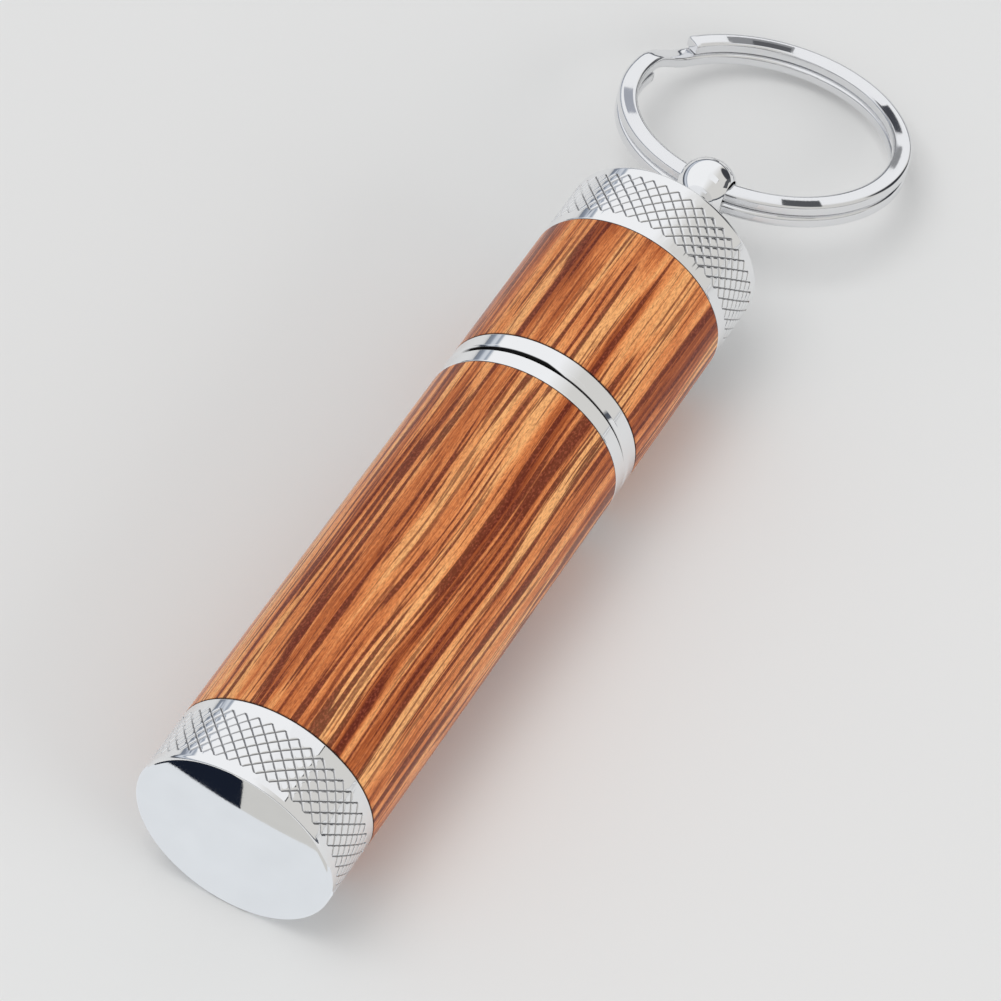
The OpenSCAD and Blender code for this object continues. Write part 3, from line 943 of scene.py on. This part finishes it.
def make_upper_coupler():
    """The band on the cap, threaded inside."""
    x_face = X_PARTING + PARTING_GAP
    x_tenon = high_x("upper_coupler")
    recess_r = 7.25 * MM
    x_recess = x_face + 0.95 * MM
    bore_r = 6.35 * MM
    plain_end = 0.6 * MM
    band = rounded([
        (x_face, recess_r), (x_face, BODY_R - GROOVE_DEPTH), (X_PARTING + GROOVE_HALF, BODY_R, GROOVE_EDGE),
        (X_BAND_B, BODY_R, BAND_EDGE), (X_BAND_B, TENON_R), (x_tenon, TENON_R, COUPLER_TENON_EDGE),
        (x_tenon, bore_r),
    ])
    thread = thread_rings(x_tenon - plain_end, x_recess, bore_r, -THREAD_DEPTH, CAP_LEAD, CAP_STARTS)
    piece = coupler("cap_coupler", band + thread + [(x_recess, recess_r)])
    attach(piece, "cap")
    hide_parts("upper_coupler")


def make_o_ring(name, node, body):
    """A seal, round in section."""
    low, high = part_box(node)
    wire = (high[0] - low[0]) / 2
    middle = (high[0] + low[0]) / 2
    centre_r = half_width(node) - wire
    corners = [(middle + wire * math.cos(a), centre_r + wire * math.sin(a)) for a in even_angles(20)]
    piece = turned(name, corners, RUBBER, segments=128, sharp=80)
    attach(piece, body)
    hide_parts(node)


# ---------------------------------------------------------------- ball stud and split ring


def ball_mesh():
    """A ball turned about the axis of its own cross-hole, with rounded lips at both mouths."""
    lip, lip_steps, lip_length = 0.12 * MM, 4, 0.9
    mouth = math.asin((HOLE_R + lip) / BALL_R)
    profile = []
    count = 48
    for i in range(count + 1):
        a = mouth + (math.pi - 2 * mouth) * i / count
        profile.append((-BALL_R * math.cos(a), BALL_R * math.sin(a)))
    depth = BALL_R * math.cos(mouth)
    # Into the hole at the far mouth, and out of it at the near one
    for side in (1, -1):
        for k in range(1, lip_steps + 1):
            a = math.pi / 2 * (k / lip_steps if side > 0 else 1 - (k - 1) / lip_steps)
            y = side * (depth - lip * (1 - math.cos(a)) * lip_length)
            profile.append((y, HOLE_R + lip * (1 - math.sin(a))))
    bm = bmesh.new()
    rows = []
    segments = 96
    for y, r in profile:
        rows.append([
            bm.verts.new((X_BALL + r * math.cos(TAU * k / segments), y, AXIS_Z + r * math.sin(TAU * k / segments)))
            for k in range(segments)
        ])
    for a, b in zip(rows, rows[1:] + rows[:1]):
        join_rings(bm, a, b)
    return bm


def make_stud():
    """The ball and its stem, merged into one piece."""
    x_tail = BALL_LOW[0]
    stud_r = 1.55 * MM
    flange_r = 2.4 * MM
    flange_x = X_DOME + 0.05 * MM
    flange_t = 0.7 * MM
    neck_r = 1.5 * MM
    clip_low, clip_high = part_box("stud_clip")
    groove_r = 1.05 * MM
    # The neck ends inside the ball's wall, on the near side of the cross-hole
    neck_end = X_BALL - HOLE_R - 0.5 * MM
    stem = rounded([
        (x_tail, 0), (x_tail, stud_r, 0.2 * MM), (clip_low[0], stud_r), (clip_low[0], groove_r),
        (clip_high[0], groove_r), (clip_high[0], stud_r), (flange_x, stud_r), (flange_x, flange_r, 0.12 * MM),
        (flange_x + flange_t, flange_r, 0.25 * MM), (flange_x + flange_t, neck_r, 0.3 * MM),
        (neck_end, neck_r), (neck_end, 0),
    ])
    bm = bmesh.new()
    add_surface(bm, stem, even_angles(64))
    stem_piece = finish_mesh(bm, "stem", CHROME)
    ball = finish_mesh(ball_mesh(), "ball_stud_turned", CHROME, sharp=45)
    union = ball.modifiers.new("union", "BOOLEAN")
    union.operation = "UNION"
    union.solver = "EXACT"
    union.object = stem_piece
    merged = bpy.data.meshes.new_from_object(ball.evaluated_get(bpy.context.evaluated_depsgraph_get()))
    ball.modifiers.clear()
    ball.data = merged
    bpy.data.objects.remove(stem_piece)
    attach(ball, "stud")
    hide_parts("ball_stud")


# In degrees round the ring: the upper turn ends at COIL_END, the wire's climb up to it starts COIL_CLEAR further
# on and takes COIL_RAMP, and the lower turn starts beyond the climb. CUT_END is how far a cut end is rounded over
COIL_END = 57
COIL_RAMP = 24
COIL_CLEAR = 3
CUT_END = 0.7


def wire_section(count=40):
    """The wire's outline, as (radial, axial) offsets: wide and squarish, with gently crowned faces."""
    points = []
    for a in even_angles(count):
        c, s = math.cos(a), math.sin(a)
        size = (abs(c) ** WIRE_SQUARENESS + abs(s) ** WIRE_SQUARENESS) ** (-1 / WIRE_SQUARENESS)
        points.append((WIRE_W / 2 * c * size, COIL_T / 2 * s * size))
    return points


def make_split_ring():
    """Two turns of flat wire: the lower one climbs past its own end to become the upper one."""
    start = COIL_END + COIL_RAMP + COIL_CLEAR
    climb = 360 + COIL_END + COIL_CLEAR
    stop = 720 + COIL_END
    layer = (COIL_T + COIL_GAP) / 2
    step = 2.0
    section = wire_section()
    place = ring_place()
    # Stations along the wire as (degrees, share of its full section). Both cut ends are slightly rounded over
    count = round((stop - start) / step)
    stations = [(start - CUT_END, 0.72), (start - CUT_END * 0.55, 0.92)]
    stations += [(start + (stop - start) * i / count, 1.0) for i in range(count + 1)]
    stations += [(stop + CUT_END * 0.55, 0.92), (stop + CUT_END, 0.72)]
    bm = bmesh.new()
    rows = []
    for degrees, share in stations:
        u = min(max((degrees - climb) / COIL_RAMP, 0), 1)
        height = layer * (2 * u * u * (3 - 2 * u) - 1)
        a = math.radians(degrees)
        row = []
        for p, q in section:
            r = RING_MEAN_R + p * share
            row.append(bm.verts.new(place @ Vector((r * math.cos(a), r * math.sin(a), height + q * share))))
        rows.append(row)
    for a, b in zip(rows, rows[1:]):
        join_rings(bm, a, b)
    bm.faces.new(rows[0])
    bm.faces.new(rows[-1])
    piece = finish_mesh(bm, "split_ring_wire", RING_STEEL, sharp=50)
    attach(piece, "key_ring")
    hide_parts("split_ring")


# ---------------------------------------------------------------- tail spring


def make_spring():
    """A conical spring wound from round wire, flat at both ends."""
    low, high = low_x("tail_spring"), high_x("tail_spring")
    wire_r = 0.3 * MM
    base_r, tip_r = 4.6 * MM, 3.2 * MM
    turns = 4
    flat_turns = 0.75
    count = turns * 60
    bm = bmesh.new()
    rows = []
    for i in range(count + 1):
        turn = turns * i / count
        rise = min(max((turn - flat_turns) / (turns - 2 * flat_turns), 0), 1)
        x = low + wire_r + (high - low - 2 * wire_r) * rise
        radius = base_r + (tip_r - base_r) * i / count
        a = TAU * turn
        row = []
        for b in even_angles(14):
            r = radius + wire_r * math.cos(b)
            row.append(bm.verts.new((x + wire_r * math.sin(b), r * math.sin(a), AXIS_Z - r * math.cos(a))))
        rows.append(row)
    for a, b in zip(rows, rows[1:]):
        join_rings(bm, a, b)
    bm.faces.new(rows[0])
    bm.faces.new(rows[-1])
    piece = finish_mesh(bm, "conical_spring", SPRING_STEEL, sharp=60)
    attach(piece, "barrel")
    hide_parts("tail_spring")
    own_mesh(piece)


# ---------------------------------------------------------------- light head

HEAD_R = half_width("head_housing")
SHANK_R = 5.5 * MM
LENS_R = half_width("lens")


def make_housing():
    """The body of the light head: a threaded shank, a finned barrel and a spigot for the bezel."""
    x0, x1 = low_x("head_housing"), high_x("head_housing")
    x_flange = X_PARTING + 6.35 * MM
    inner_r = 4.9 * MM
    bore_r = 5.45 * MM
    x_seat = low_x("led_board")
    x_spigot = x1 - 0.95 * MM
    spigot_r = bore_r + 0.35 * MM
    shank_pitch = 0.75 * MM
    thread = thread_rings(x0 + 2.2 * MM, x_flange - 0.5 * MM, SHANK_R, 0.22 * MM, shank_pitch, 1, steps=10)
    # Three cooling grooves with sloping sides
    grooves = []
    edge = 0.05 * MM
    floor_r = HEAD_R - 0.4 * MM
    for k in range(3):
        x = x_flange + (1.5 + 1.6 * k) * MM
        grooves += [(x, HEAD_R, edge), (x + 0.15 * MM, floor_r), (x + 0.65 * MM, floor_r),
                    (x + 0.8 * MM, HEAD_R, edge)]
    outside = rounded([
        (x_flange, SHANK_R), (x_flange, HEAD_R, 0.12 * MM), *grooves,
        (x_spigot, HEAD_R), (x_spigot, spigot_r), (x1, spigot_r), (x1, bore_r),
        (x_seat, bore_r), (x_seat, inner_r),
    ])
    rings = [(x0, inner_r), (x0, SHANK_R)] + thread + outside
    piece = threaded_piece("lamp_housing", rings, ANODISED, 160)
    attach(piece, "head")
    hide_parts("head_housing")


def make_bezel():
    """The ring that holds the lens, with its opening widened towards the front."""
    x0, x1 = low_x("bezel_ring"), high_x("bezel_ring")
    x_lip = high_x("lens_gasket")
    x_seat = x0 + 1.0 * MM
    socket_r = 5.8 * MM
    opening_r = 4.7 * MM
    front_r = opening_r + 0.5 * MM
    lens_bore_r = LENS_R + 0.05 * MM
    piece = turned("lamp_bezel", [
        (x0, socket_r), (x0, HEAD_R, 0.05 * MM), (x1, HEAD_R, 0.35 * MM), (x1, front_r, 0.1 * MM),
        (x_lip, opening_r), (x_lip, lens_bore_r), (x_seat, lens_bore_r), (x_seat, socket_r),
    ], ANODISED)
    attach(piece, "head")
    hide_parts("bezel_ring")


def make_reflector():
    """A parabolic bowl in a cone that opens to a short cylinder."""
    x0, x1 = low_x("reflector"), high_x("reflector")
    outer_r = half_width("reflector")
    base_r = 3.0 * MM
    cone_length = 2.4 * MM
    throat_r, mouth_r = 2.4 * MM, 5.0 * MM
    bowl = []
    steps = 32
    for i in range(steps + 1):
        r = mouth_r + (throat_r - mouth_r) * i / steps
        share = (r * r - throat_r * throat_r) / (mouth_r * mouth_r - throat_r * throat_r)
        bowl.append((x0 + (x1 - x0) * share, r))
    outside = [(x0, base_r), (x0 + cone_length, outer_r), (x1, outer_r)]
    piece = turned("reflector_bowl", outside + bowl, SILVERED)
    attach(piece, "head")
    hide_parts("reflector")


def make_lens():
    """A flat disc of glass with rounded edges."""
    x0, x1 = low_x("lens"), high_x("lens")
    edge = 0.12 * MM
    piece = turned("lens_glass_disc", [(x0, 0), (x0, LENS_R, edge), (x1, LENS_R, edge), (x1, 0)], GLASS)
    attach(piece, "head")
    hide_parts("lens")


# ---------------------------------------------------------------- assembly

make_camera()
make_floor()
make_world()
make_end_cards()
make_ring_cards()
make_overhead_cards()
make_light("key", (-0.20, 0.20, 0.80), (0.5, 0.5), 1.9)
make_light("fill", (-0.15, -0.75, 0.35), (0.6, 0.4), 1.5)

dress_cad_nodes()
make_lower_collar()
make_upper_collar()
make_barrel("long_barrel", "lower_wood_barrel", "barrel")
make_barrel("short_barrel", "upper_wood_barrel", "cap")
make_lower_coupler()
make_upper_coupler()
make_o_ring("coupler_seal", "coupler_o_ring", "cap_seal")
make_o_ring("shank_seal", "head_o_ring", "head_seal")
make_stud()
make_split_ring()
make_spring()
make_housing()
make_bezel()
make_reflector()
make_lens()

bpy.context.scene.view_settings.view_transform = "Standard"
